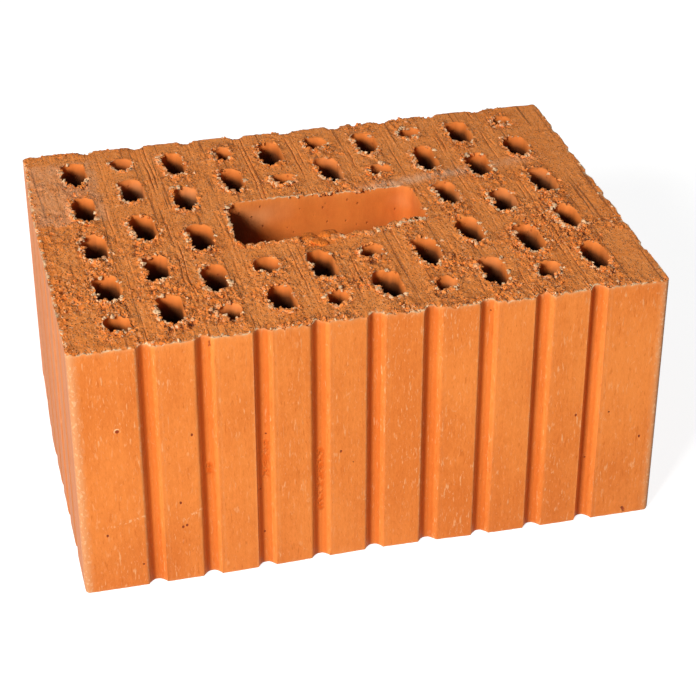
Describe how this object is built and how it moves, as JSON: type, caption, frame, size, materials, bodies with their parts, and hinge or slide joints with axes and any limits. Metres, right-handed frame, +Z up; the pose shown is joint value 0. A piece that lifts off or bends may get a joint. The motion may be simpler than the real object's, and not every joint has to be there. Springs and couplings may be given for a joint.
{
  "type": "perforated clay brick",
  "caption": "Fired clay block brick, vertically perforated with staggered slots round a central hand hole, with keying grooves down all four sides.",
  "frame": {"origin": "centre of the underside, on the floor the brick stands on", "axes": "+X along the length, to the right seen from the long face in the picture; +Y from that face to the back; +Z up, along the perforations"},
  "size_m": [0.24, 0.17, 0.114],
  "materials": {
    "fired_clay": "matt orange fired clay, smooth die skin on the sides and holes, coarse wire-cut top and underside"
  },
  "bodies": {
    "root": {"brick": "fired_clay"}
  },
  "joints": []
}
